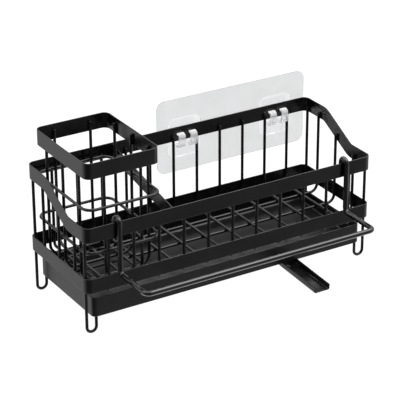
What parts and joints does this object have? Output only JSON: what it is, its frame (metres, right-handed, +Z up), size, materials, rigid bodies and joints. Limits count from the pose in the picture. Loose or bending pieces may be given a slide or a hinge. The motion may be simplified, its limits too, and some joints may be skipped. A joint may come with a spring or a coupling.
{
  "type": "dish drying rack",
  "caption": "Wire dish drying rack on bent-wire feet, with a lift-out brush basket, hook-on towel bar, drip tray with a sliding drain spout and an adhesive wall plate.",
  "frame": {"origin": "on the worktop, under the middle of the whole object's width and depth", "axes": "+X along the rack to the right, +Y from the front to the back, +Z up"},
  "size_m": [0.342, 0.1844, 0.1835],
  "materials": {
    "rack_coating": "satin",
    "basket_coating": "satin",
    "towel_bar_coating": "semi-gloss",
    "tray_plastic": "satin",
    "spout_plastic": "satin",
    "plate_clear": "translucent",
    "clip_clear": "translucent"
  },
  "bodies": {
    "rack": {"upper_rim": "rack_coating", "lower_rim": "rack_coating", "divider_strip": "rack_coating", "grid_wire_1": "rack_coating", "grid_wire_2": "rack_coating", "grid_wire_3": "rack_coating", "grid_wire_4": "rack_coating", "grid_wire_5": "rack_coating", "grid_wire_6": "rack_coating", "grid_wire_7": "rack_coating", "grid_wire_8": "rack_coating", "grid_wire_9": "rack_coating", "grid_wire_10": "rack_coating", "grid_wire_11": "rack_coating", "long_wire_front": "rack_coating", "long_wire_middle": "rack_coating", "long_wire_rear": "rack_coating", "foot_wire_front_left": "rack_coating", "foot_wire_front_right": "rack_coating", "foot_wire_rear_left": "rack_coating", "foot_wire_rear_right": "rack_coating"},
    "brush_basket": {"basket_rim": "basket_coating", "basket_ring_upper": "basket_coating", "basket_ring_lower": "basket_coating", "basket_cross_wire_1": "basket_coating", "basket_cross_wire_2": "basket_coating", "basket_cross_wire_3": "basket_coating", "basket_long_wire_1": "basket_coating", "basket_long_wire_2": "basket_coating"},
    "towel_rail": {"towel_bar": "towel_bar_coating"},
    "tray": {"drip_tray": "tray_plastic"},
    "spout": {"drain_spout": "spout_plastic"},
    "wall_plate": {"adhesive_plate": "plate_clear", "hook_clip_left": "clip_clear", "hook_clip_right": "clip_clear"}
  },
  "joints": [
    {"name": "basket_lift", "type": "slide", "parent": "rack", "child": "brush_basket", "axis": [0, 0, 1], "range_m": [0, 0.022]},
    {"name": "towel_bar_lift", "type": "slide", "parent": "rack", "child": "towel_rail", "axis": [0, 0, 1], "range_m": [0, 0.0068]},
    {"name": "tray_pull", "type": "slide", "parent": "rack", "child": "tray", "axis": [0, -1, 0], "range_m": [0, 0.11]},
    {"name": "spout_push_in", "type": "slide", "parent": "tray", "child": "spout", "axis": [0, 0.9986, 0.0523], "range_m": [0, 0.055]},
    {"name": "wall_plate_drop", "type": "slide", "parent": "rack", "child": "wall_plate", "axis": [0, 0, -1], "range_m": [0, 0.02]}
  ]
}
